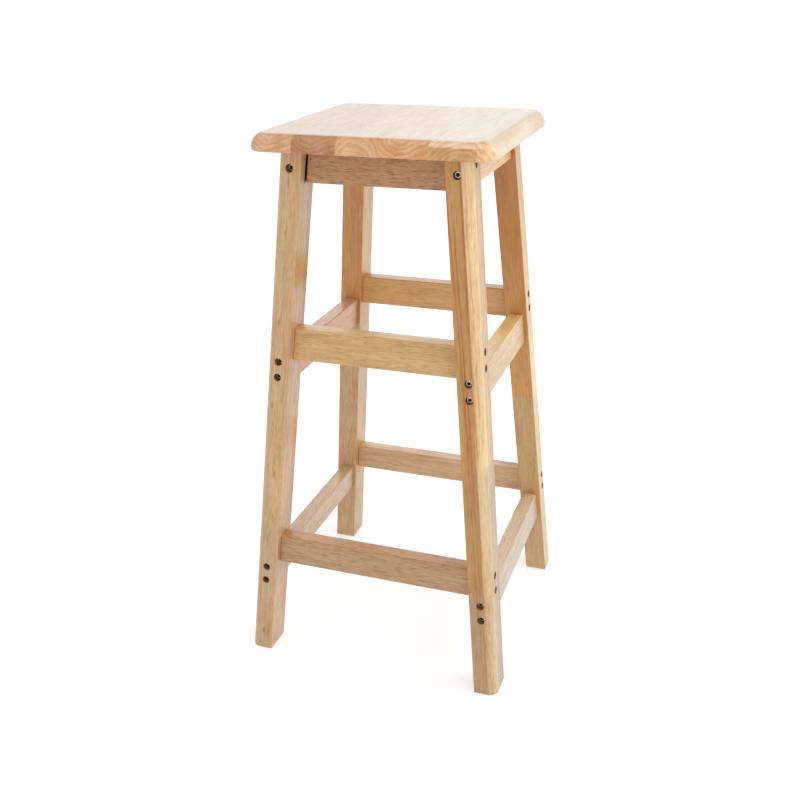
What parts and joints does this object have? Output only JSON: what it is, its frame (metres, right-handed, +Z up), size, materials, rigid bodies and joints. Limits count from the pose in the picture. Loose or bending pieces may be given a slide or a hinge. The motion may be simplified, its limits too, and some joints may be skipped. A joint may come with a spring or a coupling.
{
  "type": "bar stool",
  "caption": "Square-seated wooden bar stool on splayed legs, with aprons, middle stretchers and lower stretchers to rest the feet on.",
  "frame": {"origin": "on the floor, at the centre of the footprint", "axes": "+X to the stool's right, +Y to its back, +Z up; the front and back rails sit higher than the side rails"},
  "size_m": [0.3558, 0.3558, 0.7],
  "materials": {
    "seat_wood": "clear satin varnish over edge-glued light hardwood staves",
    "leg_wood": "clear satin varnish over light hardwood, grain along the leg",
    "rail_wood": "clear satin varnish over light hardwood, grain along the rail",
    "screw_steel": "dull zinc-plated steel"
  },
  "bodies": {
    "root": {"seat_board": "seat_wood", "leg_front_left": "leg_wood", "leg_front_right": "leg_wood", "leg_back_left": "leg_wood", "leg_back_right": "leg_wood", "apron_front": "rail_wood", "apron_back": "rail_wood", "apron_left": "rail_wood", "apron_right": "rail_wood", "middle_stretcher_front": "rail_wood", "middle_stretcher_back": "rail_wood", "middle_stretcher_left": "rail_wood", "middle_stretcher_right": "rail_wood", "lower_stretcher_front": "rail_wood", "lower_stretcher_back": "rail_wood", "lower_stretcher_left": "rail_wood", "lower_stretcher_right": "rail_wood", "screw_apron_front_left": "screw_steel", "screw_apron_front_right": "screw_steel", "screw_apron_back_left": "screw_steel", "screw_apron_back_right": "screw_steel", "screw_apron_left_front": "screw_steel", "screw_apron_left_back": "screw_steel", "screw_apron_right_front": "screw_steel", "screw_apron_right_back": "screw_steel", "screw_middle_stretcher_front_left_1": "screw_steel", "screw_middle_stretcher_front_left_2": "screw_steel", "screw_middle_stretcher_front_right_1": "screw_steel", "screw_middle_stretcher_front_right_2": "screw_steel", "screw_middle_stretcher_back_left_1": "screw_steel", "screw_middle_stretcher_back_left_2": "screw_steel", "screw_middle_stretcher_back_right_1": "screw_steel", "screw_middle_stretcher_back_right_2": "screw_steel", "screw_middle_stretcher_left_front_1": "screw_steel", "screw_middle_stretcher_left_front_2": "screw_steel", "screw_middle_stretcher_left_back_1": "screw_steel", "screw_middle_stretcher_left_back_2": "screw_steel", "screw_middle_stretcher_right_front_1": "screw_steel", "screw_middle_stretcher_right_front_2": "screw_steel", "screw_middle_stretcher_right_back_1": "screw_steel", "screw_middle_stretcher_right_back_2": "screw_steel", "screw_lower_stretcher_front_left_1": "screw_steel", "screw_lower_stretcher_front_left_2": "screw_steel", "screw_lower_stretcher_front_right_1": "screw_steel", "screw_lower_stretcher_front_right_2": "screw_steel", "screw_lower_stretcher_back_left_1": "screw_steel", "screw_lower_stretcher_back_left_2": "screw_steel", "screw_lower_stretcher_back_right_1": "screw_steel", "screw_lower_stretcher_back_right_2": "screw_steel", "screw_lower_stretcher_left_front_1": "screw_steel", "screw_lower_stretcher_left_front_2": "screw_steel", "screw_lower_stretcher_left_back_1": "screw_steel", "screw_lower_stretcher_left_back_2": "screw_steel", "screw_lower_stretcher_right_front_1": "screw_steel", "screw_lower_stretcher_right_front_2": "screw_steel", "screw_lower_stretcher_right_back_1": "screw_steel", "screw_lower_stretcher_right_back_2": "screw_steel", "seat_screw_front": "screw_steel", "seat_screw_back": "screw_steel"}
  },
  "joints": []
}
